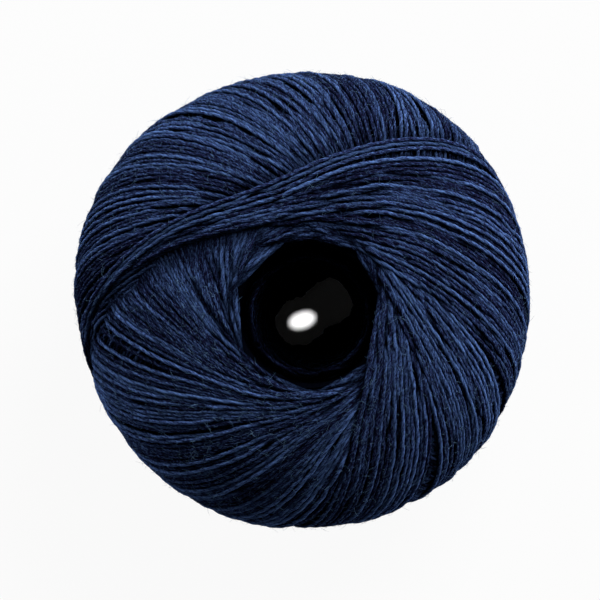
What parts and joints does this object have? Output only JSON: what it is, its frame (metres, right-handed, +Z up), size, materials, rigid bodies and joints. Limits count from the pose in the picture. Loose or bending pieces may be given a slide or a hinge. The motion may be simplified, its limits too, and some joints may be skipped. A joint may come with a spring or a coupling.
{
  "type": "ball of thread",
  "caption": "Donut-shaped ball of machine-wound navy thread with an open hole through its middle, wound in crossing wraps over a core.",
  "frame": {"origin": "on the axis of the hole, in the plane on which the ball lies", "axes": "+Z up along the hole; the closing wrap passes the hole on the side 15 degrees from +Y towards -X"},
  "size_m": [0.0958, 0.0919, 0.0599],
  "materials": {
    "thread": "matte two-ply thread with a soft sheen and a little fuzz"
  },
  "bodies": {
    "root": {"start_windings": "thread", "body_windings": "thread", "first_wrap": "thread", "second_wrap": "thread", "third_wrap": "thread", "fourth_wrap": "thread", "closing_wrap": "thread"}
  },
  "joints": []
}
